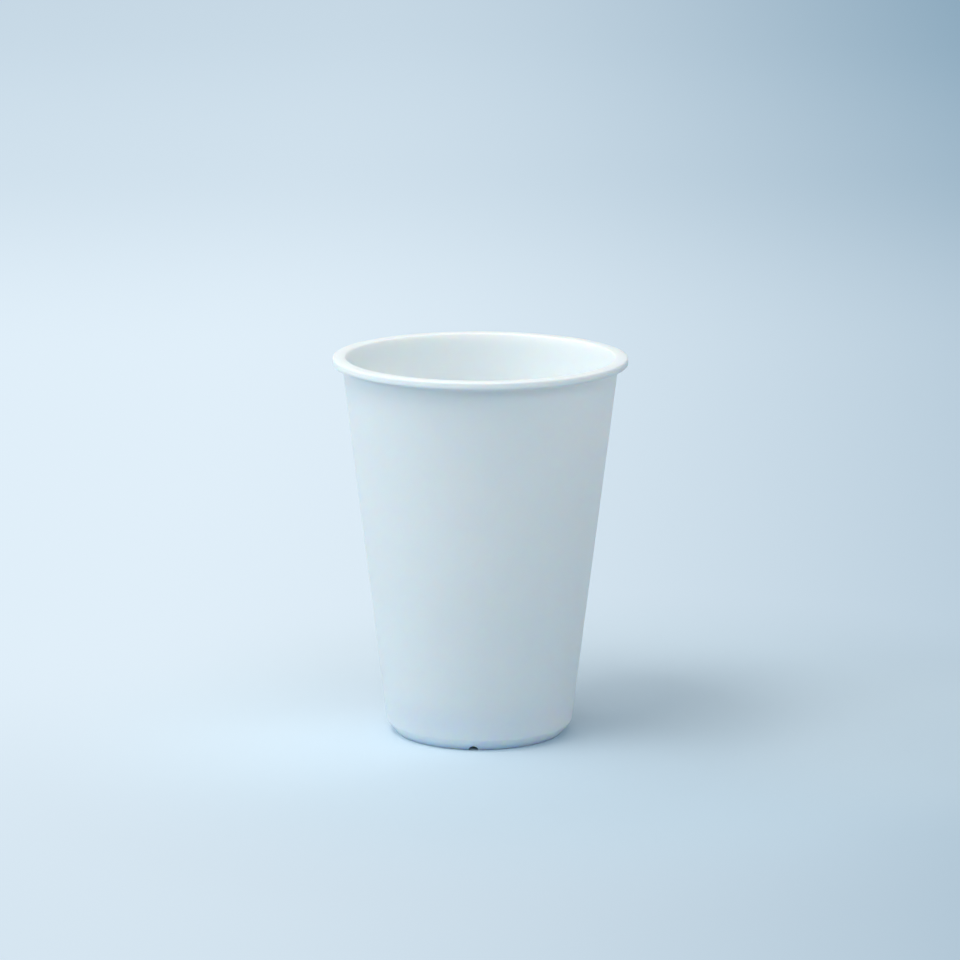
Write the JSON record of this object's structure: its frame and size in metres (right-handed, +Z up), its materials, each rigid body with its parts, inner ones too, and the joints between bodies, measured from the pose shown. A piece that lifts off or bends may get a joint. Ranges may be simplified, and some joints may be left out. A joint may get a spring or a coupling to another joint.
{
  "type": "coffee cup",
  "caption": "Tall tapered drinking cup moulded in white plastic, with a flat lip, a raised floor, a notched foot ring and inner stacking ribs.",
  "frame": {"origin": "centre of the standing face, on the surface that the cup stands on", "axes": "+Z up along the cup's axis; -Y is the front, and one drain notch is 3.9 degrees to the -X side of it; +X to the right"},
  "size_m": [0.0702, 0.0702, 0.0915],
  "materials": {
    "cup_plastic": "satin, as moulded"
  },
  "bodies": {
    "root": {"cup": "cup_plastic"}
  },
  "joints": []
}
